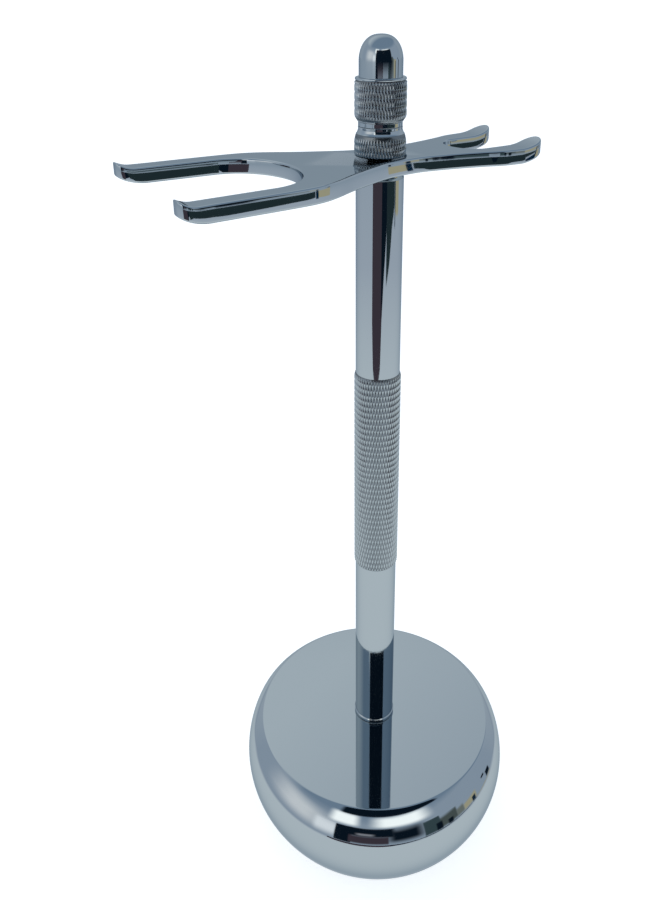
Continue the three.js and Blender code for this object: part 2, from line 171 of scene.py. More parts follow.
def knurled(name, lower, zone, upper, diamonds, row, depth, limit):
    """A turned piece with a band of diamond knurling.

    lower and upper are the smooth parts of the closed section before and after the band, in order.
    zone is the band's (bottom, top), row is half a diamond's height, depth is the grooves' depth, and
    limit gives the largest radius at a height, which shapes the band's crest and its chamfers.
    """
    sides = diamonds * KNURL_STEPS
    bottom, top = zone
    rows = max(1, round((top - bottom) / row))
    steps = rows * KNURL_STEPS // 2
    places = np.arange(sides)
    angles = 2 * np.pi * places / sides
    groove = limit.crest - depth
    radii = [np.full(sides, r) for r, z in lower]
    heights = [z for r, z in lower]
    first = len(radii)
    for j in range(steps + 1):
        z = bottom + (top - bottom) * j / steps
        surface = groove + depth * knurl_height(places, j)
        radii.append(np.minimum(surface, limit(z)))
        heights.append(z)
    last = len(radii) - 1
    for r, z in upper:
        radii.append(np.full(sides, r))
        heights.append(z)
    grid = np.array(radii)
    levels = np.array(heights)[:, None] + 0 * grid
    vertices = np.stack([grid * np.cos(angles), grid * np.sin(angles), levels], axis=-1).reshape(-1, 3)
    count = len(radii)
    on_axis = [i for i in (0, count - 1) if grid[i, 0] < ON_AXIS]
    faces = []
    for i in range(count - 1 if on_axis else count):
        n = (i + 1) % count
        for k in range(sides):
            m = (k + 1) % sides
            a = i * sides + k
            b = i * sides + m
            c = n * sides + m
            d = n * sides + k
            if first <= i < last:
                if (k + i - first + 1) % KNURL_STEPS == 0:
                    faces += [(a, b, d), (b, c, d)]
                else:
                    faces += [(a, b, c), (a, c, d)]
            else:
                faces.append((a, b, c, d))
    obj = new_object(name, vertices, faces)
    bm = bmesh.new()
    bm.from_mesh(obj.data)
    bmesh.ops.remove_doubles(bm, verts=bm.verts, dist=MERGE_DISTANCE)
    bm.to_mesh(obj.data)
    bm.free()
    fix_normals(obj)
    return obj


class Crest:
    """The largest radius of a knurled band at a height: a cylinder with a chamfer at each end."""

    def __init__(self, crest, bottom, top, lower_chamfer, upper_chamfer, drop):
        self.crest = crest
        self.bottom = bottom
        self.top = top
        self.lower_chamfer = lower_chamfer
        self.upper_chamfer = upper_chamfer
        self.drop = drop

    def __call__(self, z):
        low = min(1.0, (z - self.bottom) / self.lower_chamfer)
        high = min(1.0, (self.top - z) / self.upper_chamfer)
        return self.crest - self.drop * (1 - min(low, high))


# ---- Materials ----

CHROME_COLOUR = (0.56, 0.61, 0.635, 1)
CHROME_EDGE = (0.55, 0.60, 0.65, 1)  # tint of the reflections at grazing angles
CHROME_ROUGHNESS = 0.025  # between the smears
SMEAR_SCALE = 90  # noise cells across a metre, as every scale below
POLISH_SCALE = 2500
PLATE_GRAIN_SCALE = 3000
PLATE_RELIEF = 0.01 * MM
METAL_RELIEF = 0.05 * MM
SOFT_RELIEF = 0.1 * MM
GROOVE_SHADE = 0.45  # painted shade: how bright the knurling's grooves are painted beside its crests
GROOVE_ROUGHNESS = 0.25
CREST_ROUGHNESS = 0.06


def node_material(name):
    material = bpy.data.materials.new(name)
    material.use_nodes = True
    nodes = material.node_tree.nodes
    shader = nodes["Principled BSDF"]
    return material, nodes, material.node_tree.links, shader


def noise(nodes, links, coordinates, scale, detail, stretch=(1, 1, 1)):
    mapping = nodes.new("ShaderNodeMapping")
    mapping.inputs["Scale"].default_value = stretch
    links.new(coordinates, mapping.inputs["Vector"])
    texture = nodes.new("ShaderNodeTexNoise")
    texture.inputs["Scale"].default_value = scale
    texture.inputs["Detail"].default_value = detail
    links.new(mapping.outputs["Vector"], texture.inputs["Vector"])
    return texture.outputs["Fac"]


def ramp(nodes, links, value, stops):
    node = nodes.new("ShaderNodeValToRGB")
    elements = node.color_ramp.elements
    while len(elements) < len(stops):
        elements.new(0.5)
    for element, (place, colour) in zip(elements, stops):
        element.position = place
        element.color = colour if len(colour) == 4 else (*colour, 1)
    links.new(value, node.inputs["Fac"])
    return node.outputs["Color"]


def grey(value):
    return (value, value, value, 1)


def bump(nodes, links, height, strength, distance):
    node = nodes.new("ShaderNodeBump")
    node.inputs["Strength"].default_value = strength
    node.inputs["Distance"].default_value = distance
    links.new(height, node.inputs["Height"])
    return node.outputs["Normal"]


def chrome(name, stretch, smear, lines):
    """Polished chrome plate, with faint smears and polishing lines in its gloss.

    stretch runs the polishing lines along a direction, smear is how rough the smears are, and lines is how
    strong the polishing lines are.
    """
    material, nodes, links, shader = node_material(name)
    coordinates = nodes.new("ShaderNodeTexCoord").outputs["Object"]
    shader.inputs["Base Color"].default_value = CHROME_COLOUR
    shader.inputs["Metallic"].default_value = 1.0
    shader.inputs["Specular Tint"].default_value = CHROME_EDGE
    smears = noise(nodes, links, coordinates, SMEAR_SCALE, 5)
    rough = ramp(nodes, links, smears, [(0.35, grey(CHROME_ROUGHNESS)), (0.75, grey(smear))])
    links.new(rough, shader.inputs["Roughness"])
    polish = noise(nodes, links, coordinates, POLISH_SCALE, 2, stretch)
    links.new(bump(nodes, links, polish, lines, PLATE_RELIEF), shader.inputs["Normal"])
    return material


def knurl_chrome(name, groove_r, crest_r):
    """Chrome on knurling: bright on the crests, duller down in the grooves, where painted shade darkens the
    colour.
    """
    material, nodes, links, shader = node_material(name)
    coordinates = nodes.new("ShaderNodeTexCoord").outputs["Object"]
    shader.inputs["Metallic"].default_value = 1.0
    shader.inputs["Specular Tint"].default_value = CHROME_EDGE
    flat = nodes.new("ShaderNodeVectorMath")
    flat.operation = "MULTIPLY"
    flat.inputs[1].default_value = (1, 1, 0)
    links.new(coordinates, flat.inputs[0])
    reach = nodes.new("ShaderNodeVectorMath")
    reach.operation = "LENGTH"
    links.new(flat.outputs["Vector"], reach.inputs[0])
    span = nodes.new("ShaderNodeMapRange")
    span.inputs["From Min"].default_value = groove_r
    span.inputs["From Max"].default_value = crest_r
    links.new(reach.outputs["Value"], span.inputs["Value"])
    depth = span.outputs["Result"]
    # Painted shade: the colour darkens from the crests down into the grooves.
    painted_groove_shade = tuple(c * GROOVE_SHADE for c in CHROME_COLOUR[:3])
    colour = ramp(nodes, links, depth, [(0.0, painted_groove_shade), (0.7, CHROME_COLOUR)])
    links.new(colour, shader.inputs["Base Color"])
    rough = ramp(nodes, links, depth, [(0.0, grey(GROOVE_ROUGHNESS)), (0.6, grey(CREST_ROUGHNESS))])
    links.new(rough, shader.inputs["Roughness"])
    grain = noise(nodes, links, coordinates, PLATE_GRAIN_SCALE, 2)
    links.new(bump(nodes, links, grain, 0.05, PLATE_RELIEF), shader.inputs["Normal"])
    return material


def plain_metal(name, dark, light, rough_low, rough_high, scale, relief, stretch=(1, 1, 1)):
    """Unplated metal with a mottled colour and a turned or cast grain."""
    material, nodes, links, shader = node_material(name)
    coordinates = nodes.new("ShaderNodeTexCoord").outputs["Object"]
    shader.inputs["Metallic"].default_value = 1.0
    mottle = noise(nodes, links, coordinates, scale, 5)
    links.new(ramp(nodes, links, mottle, [(0.3, dark), (0.7, light)]), shader.inputs["Base Color"])
    rough = ramp(nodes, links, mottle, [(0.3, grey(rough_high)), (0.7, grey(rough_low))])
    links.new(rough, shader.inputs["Roughness"])
    grain = noise(nodes, links, coordinates, scale * 8, 4, stretch)
    links.new(bump(nodes, links, grain, relief, METAL_RELIEF), shader.inputs["Normal"])
    return material


def soft_plastic(name, dark, light, rough, scale, relief):
    """Rubber or nylon: not metallic, with a fine grain and slight mottling."""
    material, nodes, links, shader = node_material(name)
    coordinates = nodes.new("ShaderNodeTexCoord").outputs["Object"]
    mottle = noise(nodes, links, coordinates, scale, 4)
    links.new(ramp(nodes, links, mottle, [(0.35, dark), (0.65, light)]), shader.inputs["Base Color"])
    roughness = ramp(nodes, links, mottle, [(0.3, grey(rough)), (0.7, grey(rough * 0.85))])
    links.new(roughness, shader.inputs["Roughness"])
    grain = noise(nodes, links, coordinates, scale * 6, 3)
    links.new(bump(nodes, links, grain, relief, SOFT_RELIEF), shader.inputs["Normal"])
    return material


chrome_base = chrome("chrome_spun", (1, 1, 0.1), smear=0.05, lines=0.015)
chrome_post = chrome("chrome_turned", (0.15, 0.15, 1), smear=0.06, lines=0.02)
chrome_fork = chrome("chrome_sheet", (0.1, 1, 1), smear=0.06, lines=0.02)
steel = plain_metal("zinc_steel", (0.40, 0.42, 0.42), (0.66, 0.66, 0.63), 0.28, 0.42, 300, 0.15, (1, 1, 6))
iron = plain_metal("cast_iron", (0.05, 0.05, 0.052), (0.13, 0.125, 0.12), 0.55, 0.75, 180, 0.6)
brass = plain_metal("brass", (0.50, 0.34, 0.12), (0.74, 0.56, 0.26), 0.22, 0.36, 250, 0.1, (1, 1, 8))
rubber = soft_plastic("rubber", (0.018, 0.018, 0.02), (0.035, 0.035, 0.037), 0.85, 400, 0.5)
nylon = soft_plastic("nylon", (0.62, 0.60, 0.54), (0.74, 0.73, 0.68), 0.5, 500, 0.15)


def finish_piece(obj, body, slot, materials, *nodes):
    """Gives a new piece its materials and its body, and hides the CAD nodes it stands for. Its slot argument
    is not used.
    """
    for material in materials:
        obj.data.materials.append(material)
    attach(obj, body)
    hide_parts(*nodes)


def mark_knurling(obj, bottom, top, inner_r):
    """Gives the faces of a knurled band, outside inner_r, the piece's second material."""
    for face in obj.data.polygons:
        if bottom < face.center.z < top and face.center.xy.length > inner_r:
            face.material_index = 1


# ---- Base ----

# The shell's section: a flat top and four arcs that run on from each other. Each is (radius, slope of its
# outward normal where it ends, in degrees above level).
BASE_ARCS = ((0.6 * MM, 52), (7.9 * MM, 22), (22.4 * MM, -22.6), (28.0 * MM, None))
SHELL_WALL = 1.2 * MM
ARC_STEPS = (8, 24, 28, 12)
SCREW_HOLE_R = 2.8 * MM
HOLE_EDGE = 0.2 * MM  # chamfer at the top of the screw's hole
PAD_SEAT = 0.4 * MM  # gap between the pad and the shell's rim
PAD_EDGE_R = 0.25 * MM
PAD_SEAT_EDGE_R = 0.3 * MM
BASE_SIDES = 256
SMALL_SIDES = 128


def base_section(inset, top, rim, flat_r):
    """Points from the flat top's edge down to the rim, moved inwards by inset.

    An arc that is smaller than the inset vanishes, and the next one starts where it meets the flat.
    """
    centre = Vector((flat_r, top - BASE_ARCS[0][0]))
    start = 90.0
    points = []
    for index, (radius, end) in enumerate(BASE_ARCS):
        if end is None:
            end = math.degrees(math.asin((rim - centre.y) / radius))
        reach = radius - inset
        if reach > 0:
            meets_flat = math.degrees(math.asin(min(1.0, (top - inset - centre.y) / reach)))
            step_points = arc(centre, reach, min(start, meets_flat), end, ARC_STEPS[index])
            points += step_points[1:] if points else step_points
        if index + 1 < len(BASE_ARCS):
            outward = Vector((math.cos(math.radians(end)), math.sin(math.radians(end))))
            centre = centre + outward * (radius - BASE_ARCS[index + 1][0])
        start = end
    return points


SHADING_LEAN = 18.0  # the most that the shoulder's shading leans up, in degrees
LEAN_SLOPE = 20.0  # slope of the surface's normal where the lean is most, in degrees above level
LEAN_SPREAD = 22.0  # how far from that slope the lean dies away, in degrees
FLAT_SLOPE = 89.5  # steeper normals than this belong to the flat top


def lean_shoulder_shading(shell, above):
    """Leans the shoulder's shading normals up, which spreads its reflections. The mesh keeps its section."""
    mesh = shell.data
    normals = []
    for vertex in mesh.vertices:
        normal = vertex.normal.copy()
        slope = math.degrees(math.asin(max(-1.0, min(1.0, normal.z))))
        outside = normal.xy.dot(vertex.co.xy) > 0 and vertex.co.z > above
        if outside and slope < FLAT_SLOPE:
            lean = SHADING_LEAN * math.exp(-((slope - LEAN_SLOPE) / LEAN_SPREAD) ** 2)
            leaning = math.radians(slope + lean)
            level = normal.xy.normalized() * math.cos(leaning)
            normal = Vector((level.x, level.y, math.sin(leaning)))
        normals.append(tuple(normal))
    mesh.normals_split_custom_set_from_vertices(normals)


def make_base():
    low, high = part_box("base_shell")
    top = high.z
    rim = low.z
    slope = math.radians(BASE_ARCS[0][1])
    side = math.radians(BASE_ARCS[1][1])
    widest = (BASE_ARCS[0][0] - BASE_ARCS[1][0]) * math.cos(slope)
    widest += (BASE_ARCS[1][0] - BASE_ARCS[2][0]) * math.cos(side) + BASE_ARCS[2][0]
    flat_r = high.x - widest
    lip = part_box("base_pad")[1].x + PAD_SEAT
    outside = base_section(0, top, rim, flat_r)
    inside = base_section(SHELL_WALL, top, rim, flat_r)
    section = [
        (SCREW_HOLE_R, top - SHELL_WALL),
        (SCREW_HOLE_R, top - HOLE_EDGE),
        (SCREW_HOLE_R + HOLE_EDGE, top),
        (SCREW_HOLE_R + 0.25 * MM, top),
        (flat_r * 0.5, top),
        (flat_r - 1.0 * MM, top),
        (flat_r - 0.2 * MM, top),
        *outside,
        (lip + 0.3 * MM, rim),
        (lip, rim + 0.3 * MM),
        (lip, rim + SHELL_WALL),
        *reversed(inside),
    ]
    shell = turned("base_shell_skin", section, BASE_SIDES)
    lean_shoulder_shading(shell, rim + SHELL_WALL)
    finish_piece(shell, "stand", "chrome", [chrome_base], "base_shell")


def make_pad():
    low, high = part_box("base_pad")
    section = [
        (0, low.z),
        (high.x - PAD_EDGE_R, low.z, PAD_EDGE_R),
        (high.x, low.z + PAD_EDGE_R, PAD_EDGE_R),
        (high.x, high.z, PAD_SEAT_EDGE_R),
        (0, high.z),
    ]
    pad = turned("base_pad_skin", soften(section, 0, closed=False), SMALL_SIDES)
    finish_piece(pad, "stand", "rubber", [rubber], "base_pad")


# ---- Post ----

GRIP_ROW = 1.45 * MM
GRIP_DIAMONDS = 48
GRIP_DEPTH = 0.27 * MM
GRIP_BOTTOM = 50.1 * MM  # above the base's flat top
GRIP_TOP = 102.3 * MM
POST_BORE_R = 3.9 * MM
POST_R = 5.0 * MM
FOOT_R = 5.2 * MM
FOOT_HEIGHT = 0.8 * MM
FOOT_CLEARANCE = 0.12 * MM  # the joint line between the post and the base
JOINT = 0.26 * MM  # how far a piece is drawn on towards its neighbour, which leaves a hairline


def make_post():
    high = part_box("post")[1]
    grip_r = high.x
    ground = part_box("base_shell")[1].z
    bottom = ground + GRIP_BOTTOM
    top = ground + GRIP_TOP
    foot = ground + FOOT_CLEARANCE
    end = high.z + JOINT
    lower = [
        (POST_BORE_R, foot + 2 * MM, 0),
        (POST_BORE_R, foot, 0.1 * MM),
        (FOOT_R, foot, 0.12 * MM),
        (FOOT_R, foot + FOOT_HEIGHT, 0.1 * MM),
        (POST_R, foot + FOOT_HEIGHT + 0.2 * MM, 0.1 * MM),
        (POST_R, bottom - 0.1 * MM, 0),
    ]
    upper = [
        (POST_R, top + 0.05 * MM, 0),
        (POST_R, end - 0.4 * MM, 0.2 * MM),
        (POST_R - 0.4 * MM, end, 0.1 * MM),
        (POST_BORE_R, end, 0.1 * MM),
        (POST_BORE_R, end - 2 * MM, 0),
    ]
    lower = soften(lower, 0, closed=False)
    upper = soften(upper, 0, closed=False)
    crest = Crest(grip_r, bottom, top, 0.15 * MM, 0.9 * MM, grip_r - POST_R)
    post = knurled("post_skin", lower, (bottom, top), upper, GRIP_DIAMONDS, GRIP_ROW, GRIP_DEPTH, crest)
    look = knurl_chrome("chrome_grip", grip_r - GRIP_DEPTH, grip_r)
    finish_piece(post, "stand", "chrome", [chrome_post, look], "post")
    mark_knurling(post, bottom, top, POST_BORE_R + 0.5 * MM)


# ---- Fork ----

# The outline and its raised ends are in millimetres. This is one long edge from above, razor tip to brush
# tip, as (distance along X, half width).
FORK_EDGE = (
    (28.8, 11.2), (24.2, 10.7), (20.2, 9.4), (15, 8.0), (10, 7.0), (5, 6.5), (-2, 7.5), (-7.7, 9.8),
    (-13.5, 12.6), (-18.8, 15.6), (-23.2, 17.3), (-29, 18.0), (-43.5, 18.8),
)
BRUSH_TIP = (-50.0, 19.2)
BRUSH_CORNER_R = 1.8
BRUSH_GAP_HALF = 13.8
BRUSH_GAP_TIP_HALF = 14.6
BRUSH_GAP_CENTRE = -31.0
BRUSH_GAP_DEPTH = 11.0
RAZOR_TIP = 34.6
RAZOR_TIP_CENTRE = 32.0
RAZOR_GAP_HALF = 5.9
RAZOR_GAP_CENTRE = 22.6
RAZOR_GAP_DEPTH = 4.8
# At each end the plate's faces leave the flat and follow an arc upwards: the direction along X, then the
# upper face's start and radius, then the lower face's.
LIPS = ((-1, -46.5, 5.5, -44.2, 11.5), (1, 28.3, 12.0, 28.0, 11.5))
LIP_CUTS = (0.0, 0.05, *(0.4 * k for k in range(1, 18)))  # past the lower arc's start
FORK_EDGE_R = 0.45 * MM  # rounding of the plate's long edges
FORK_EDGE_STEPS = 5
FORK_EDGE_SUPPORT = 0.06 * MM  # how far inside the rounding the ring lies that keeps the flat faces flat
FORK_HOLE_R = 2.9 * MM
FORK_HOLE_SIDES = 48


def catmull(points, steps):
    """A smooth curve through points, without the last one."""
    padded = [points[0], *points, points[-1]]
    result = []
    for i in range(1, len(padded) - 2):
        p0, p1, p2, p3 = (np.array(p, float) for p in padded[i - 1:i + 3])
        for k in range(steps):
            t = k / steps
            slope = (p2 - p0) * t
            bend = (2 * p0 - 5 * p1 + 4 * p2 - p3) * t**2
            twist = (3 * p1 - p0 - 3 * p2 + p3) * t**3
            result.append(tuple(0.5 * (2 * p1 + slope + bend + twist)))
    return result


def ellipse(cx, cy, rx, ry, start, end, steps):
    points = []
    for i in range(steps + 1):
        angle = math.radians(start + (end - start) * i / steps)
        points.append((cx + rx * math.cos(angle), cy + ry * math.sin(angle)))
    return points


def line(a, b, steps):
    """Points from a towards b, without b."""
    points = []
    for i in range(steps):
        points.append((a[0] + (b[0] - a[0]) * i / steps, a[1] + (b[1] - a[1]) * i / steps))
    return points


def half_outline():
    """The outline's +Y half, from the razor gap's bottom round to the brush gap's bottom."""
    prong_half = (FORK_EDGE[0][1] - RAZOR_GAP_HALF) / 2
    prong_mid = RAZOR_GAP_HALF + prong_half
    tip_x, tip_half = BRUSH_TIP
    r = BRUSH_CORNER_R
    points = ellipse(RAZOR_GAP_CENTRE, 0, RAZOR_GAP_DEPTH, RAZOR_GAP_HALF, 180, 90, 18)
    points += line((RAZOR_GAP_CENTRE, RAZOR_GAP_HALF), (RAZOR_TIP_CENTRE, RAZOR_GAP_HALF), 8)[1:]
    points += ellipse(RAZOR_TIP_CENTRE, prong_mid, RAZOR_TIP - RAZOR_TIP_CENTRE, prong_half, -90, 90, 18)
    points += line((RAZOR_TIP_CENTRE, FORK_EDGE[0][1]), FORK_EDGE[0], 3)[1:]
    points += catmull(FORK_EDGE, 6)
    points += line(FORK_EDGE[-1], (tip_x + r, tip_half), 6)
    points += ellipse(tip_x + r, tip_half - r, r, r, 90, 180, 7)
    points += ellipse(tip_x + r, BRUSH_GAP_TIP_HALF + r, r, r, 180, 270, 7)
    points += line((tip_x + r, BRUSH_GAP_TIP_HALF), (BRUSH_GAP_CENTRE, BRUSH_GAP_HALF), 12)[1:]
    points += ellipse(BRUSH_GAP_CENTRE, 0, BRUSH_GAP_DEPTH, BRUSH_GAP_HALF, 90, 0, 24)
    return points


def fork_outline():
    half = half_outline()
    mirrored = [(x, -y) for x, y in reversed(half)]
    points = half + mirrored[1:-1]
    return np.array(points) * MM


def offset_outline(points, distance):
    """The outline moved inwards, along the average of its neighbouring edges' normals."""
    before = points - np.roll(points, 1, axis=0)
    after = np.roll(points, -1, axis=0) - points
    before /= np.linalg.norm(before, axis=1, keepdims=True)
    after /= np.linalg.norm(after, axis=1, keepdims=True)
    tangent = before + after
    tangent /= np.linalg.norm(tangent, axis=1, keepdims=True)
    inward = np.stack([-tangent[:, 1], tangent[:, 0]], axis=1)
    return points + inward * distance


def lip_rise(x, direction, start, radius):
    """How far a face has risen at x, on the arc it follows past its start."""
    past = direction * (x - start * MM)
    if past <= 0:
        return 0.0
    radius *= MM
    return radius - math.sqrt(radius**2 - min(past, radius) ** 2)


def raise_lips(vertex, bottom, top):
    """Moves a point of the flat plate up to where it lies on the plate's raised ends."""
    share = (vertex.z - bottom) / (top - bottom)
    for direction, upper_start, upper_r, lower_start, lower_r in LIPS:
        upper = lip_rise(vertex.x, direction, upper_start, upper_r)
        lower = lip_rise(vertex.x, direction, lower_start, lower_r)
        vertex.z += share * upper + (1 - share) * lower


def edge_rings(bottom, top):
    """The (inset, height) of each ring round the plate's edge, from its lower face to its upper face."""
    rings = [(FORK_EDGE_R + FORK_EDGE_SUPPORT, bottom)]
    for k in range(FORK_EDGE_STEPS + 1):
        angle = math.radians(90 * k / FORK_EDGE_STEPS)
        rings.append((FORK_EDGE_R * (1 - math.sin(angle)), bottom + FORK_EDGE_R * (1 - math.cos(angle))))
    return rings + [(inset, top - (z - bottom)) for inset, z in reversed(rings)]


def hole_ring(bm, z):
    ring = []
    for k in range(FORK_HOLE_SIDES):
        angle = 2 * math.pi * k / FORK_HOLE_SIDES
        ring.append(bm.verts.new((FORK_HOLE_R * math.cos(angle), FORK_HOLE_R * math.sin(angle), z)))
    return ring


def fill_face(bm, loop, hole):
    """Fills the flat face between the plate's edge and its hole."""
    edges = []
    for ring in (loop, hole):
        for k in range(len(ring)):
            edges.append(bm.edges.get((ring[k], ring[(k + 1) % len(ring)])))
    bmesh.ops.triangle_fill(bm, use_beauty=True, use_dissolve=False, edges=edges)


def flat_plate(bm, bottom, top):
    outline = fork_outline()
    loops = []
    for inset, z in edge_rings(bottom, top):
        loops.append([bm.verts.new((x, y, z)) for x, y in offset_outline(outline, inset)])
    for lower, upper in zip(loops, loops[1:]):
        for k in range(len(outline)):
            n = (k + 1) % len(outline)
            bm.faces.new((lower[k], lower[n], upper[n], upper[k]))
    holes = [hole_ring(bm, z) for z in (bottom, top)]
    for k in range(FORK_HOLE_SIDES):
        n = (k + 1) % FORK_HOLE_SIDES
        bm.faces.new((holes[0][n], holes[0][k], holes[1][k], holes[1][n]))
    fill_face(bm, loops[0], holes[0])
    fill_face(bm, loops[-1], holes[1])


def cut_for_lips(bm):
    """Cuts the plate across where its ends bend, so that they can follow their arcs."""
    for direction, _, _, start, _ in LIPS:
        for step in LIP_CUTS:
            place = ((start + direction * step) * MM, 0, 0)
            geometry = bm.verts[:] + bm.edges[:] + bm.faces[:]
            bmesh.ops.bisect_plane(bm, geom=geometry, plane_co=place, plane_no=(1, 0, 0), dist=MERGE_DISTANCE)


def make_fork():
    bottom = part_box("fork")[0].z
    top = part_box("clamp_nut")[0].z - GAP
    bm = bmesh.new()
    flat_plate(bm, bottom, top)
    cut_for_lips(bm)
    for vertex in bm.verts:
        raise_lips(vertex.co, bottom, top)
    mesh = bpy.data.meshes.new("fork_skin")
    bm.to_mesh(mesh)
    bm.free()
    fork = add_object("fork_skin", mesh)
    finish_piece(fork, "fork", "chrome", [chrome_fork], "fork")


# ---- Clamp nut and finial ----

KNURL_DIAMONDS = 52
KNURL_ROW = 1.5 * MM
KNURL_DEPTH = 0.24 * MM
NUT_BORE_R = 2.7 * MM
NUT_BARREL = 2.3 * MM
NUT_SHOULDER = 1.9 * MM
NUT_SHOULDER_R = 4.9 * MM
NUT_LEAN_POWER = 1.6  # how suddenly the knurled shoulder leans in
NUT_FOOT_EDGE = 0.15 * MM
NECK_R = 4.55 * MM
COLLAR_CHAMFER = 0.9 * MM
COLLAR_HEIGHT = 8.1 * MM
COLLAR_LEDGE = 0.7 * MM  # from the knurling's top to the dome's foot
DOME_R = 4.4 * MM
DOME_STRAIGHT = 2.8 * MM  # height of the dome's cylindrical lower part
DOME_POWER = 0.8  # 1 would make its round end an ellipse; less makes it blunter
DOME_STEPS = 40
LEDGE_RISE = 0.45 * MM  # from the knurling's top to the ledge round the dome
LEDGE_EDGE_R = 0.3 * MM  # rounding of the collar's upper edge
STUD_CLEARANCE = 1.0 * MM  # above the stud's end, inside the knob
WASHER_EDGE_R = 0.08 * MM


class NutCrest:
    """The nut's knurled outside: a cylinder whose upper part leans in to the shoulder."""

    def __init__(self, crest, bottom, shoulder, top):
        self.crest = crest
        self.bottom = bottom
        self.shoulder = shoulder
        self.top = top

    def __call__(self, z):
        low = min(1.0, (z - self.bottom) / NUT_FOOT_EDGE)
        lean = max(0.0, (z - self.shoulder) / (self.top - self.shoulder))
        shoulder_drop = (self.crest - NUT_SHOULDER_R) * lean**NUT_LEAN_POWER
        return self.crest - NUT_FOOT_EDGE * (1 - low) - shoulder_drop


def make_nut():
    low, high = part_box("clamp_nut")
    crest_r = high.x
    shoulder = low.z + NUT_BARREL
    neck = shoulder + NUT_SHOULDER
    foot = low.z - JOINT
    bore = [
        (NUT_BORE_R, foot + 1 * MM),
        (NUT_BORE_R, foot, 0.1 * MM),
        (crest_r - 0.3 * MM, foot),
    ]
    lower = soften(bore, 0, closed=False)
    waist = [
        (NUT_SHOULDER_R - 0.15 * MM, neck + 0.1 * MM, 0.1 * MM),
        (NECK_R + 0.08 * MM, neck + 0.45 * MM, 0.2 * MM),
        (NECK_R - 0.05 * MM, neck + 0.85 * MM, 0.3 * MM),
        (NECK_R, high.z, 0.1 * MM),
        (NUT_BORE_R, high.z, 0.1 * MM),
        (NUT_BORE_R, high.z - 1 * MM, 0),
    ]
    upper = soften(waist, 0, closed=False)
    crest = NutCrest(crest_r, foot, shoulder, neck)
    zone = (foot + 0.02 * MM, neck)
    nut = knurled("clamp_nut_skin", lower, zone, upper, KNURL_DIAMONDS, KNURL_ROW, KNURL_DEPTH, crest)
    look = knurl_chrome("chrome_nut", crest_r - KNURL_DEPTH, crest_r)
    finish_piece(nut, "stand", "chrome", [chrome_post, look], "clamp_nut")
    mark_knurling(nut, foot, neck, NECK_R)


def dome_section(round_foot, top):
    """The dome's round end, from its foot up to just short of its top."""
    section = []
    for i in range(DOME_STEPS):
        angle = (i / DOME_STEPS) * (math.pi / 2)
        radius = DOME_R * math.cos(angle) ** DOME_POWER
        section.append((radius, round_foot + (top - round_foot) * math.sin(angle)))
    return section


def make_knob():
    low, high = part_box("finial_knob")
    crest_r = high.x
    collar_top = low.z + COLLAR_HEIGHT
    round_foot = collar_top + COLLAR_LEDGE + DOME_STRAIGHT
    bore_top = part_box("fork_stud")[1].z + STUD_CLEARANCE
    lower = [
        (0, bore_top),
        (NUT_BORE_R, bore_top, 0.1 * MM),
        (NUT_BORE_R, low.z, 0.1 * MM),
        (NECK_R, low.z, 0.1 * MM),
        (NECK_R + 0.1 * MM, low.z + 0.05 * MM, 0),
    ]
    lower = soften(lower, 0, closed=False)
    ledge_z = collar_top + LEDGE_RISE
    ledge = soften([
        (crest_r - 0.1 * MM, collar_top + 0.02 * MM, 0),
        (crest_r - 0.12 * MM, ledge_z, LEDGE_EDGE_R),
        (DOME_R, ledge_z, 0.06 * MM),
        (DOME_R, round_foot, 0),
    ], 0, closed=False)
    upper = ledge[:-1] + dome_section(round_foot, high.z) + [(0, high.z)]
    crest = Crest(crest_r, low.z, collar_top, COLLAR_CHAMFER, 0.15 * MM, crest_r - NECK_R)
    zone = (low.z + 0.08 * MM, collar_top)
    knob = knurled("finial_knob_skin", lower, zone, upper, KNURL_DIAMONDS, KNURL_ROW, KNURL_DEPTH, crest)
    look = knurl_chrome("chrome_collar", crest_r - KNURL_DEPTH, crest_r)
    finish_piece(knob, "finial", "chrome", [chrome_post, look], "finial_knob")
    mark_knurling(knob, low.z + 0.3 * MM, collar_top, NECK_R)


def make_joint_washer(node, body):
    """A chromed washer, drawn thick enough to leave only a hairline above and below it."""
    low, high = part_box(node)
    section = [
        (NUT_BORE_R, low.z),
        (high.x, low.z - JOINT, WASHER_EDGE_R),
        (high.x, high.z + JOINT, WASHER_EDGE_R),
        (NUT_BORE_R, high.z),
    ]
    washer = turned(node + "_skin", soften(section, 0), SMALL_SIDES)
    finish_piece(washer, body, "chrome", [chrome_post], node)


# ---- CAD pieces that stay ----

KEPT = {
    "base_weight": iron,
    "base_cover": steel,
    "base_screw": steel,
    "base_washer": steel,
    "lock_washer": steel,
    "cover_screw_1": steel,
    "cover_screw_2": steel,
    "cover_screw_3": steel,
    "foot_washer": nylon,
    "post_lower_plug": brass,
    "post_upper_plug": brass,
    "fork_stud": steel,
}


def dress_kept_nodes():
    for name, material in KEPT.items():
        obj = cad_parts[name]
        obj.data.materials.clear()
        obj.data.materials.append(material)


# ---- Stage ----

# The camera stands to the -X, -Y side. Places round it are given by azimuth, in degrees to the right of the
# line from the post to the camera, and by distance from the post's axis.
CAMERA_TURN = math.radians(32.8)
TOWARDS = Vector((-math.sin(CAMERA_TURN), -math.cos(CAMERA_TURN), 0))
RIGHTWARDS = Vector((math.cos(CAMERA_TURN), -math.sin(CAMERA_TURN), 0))

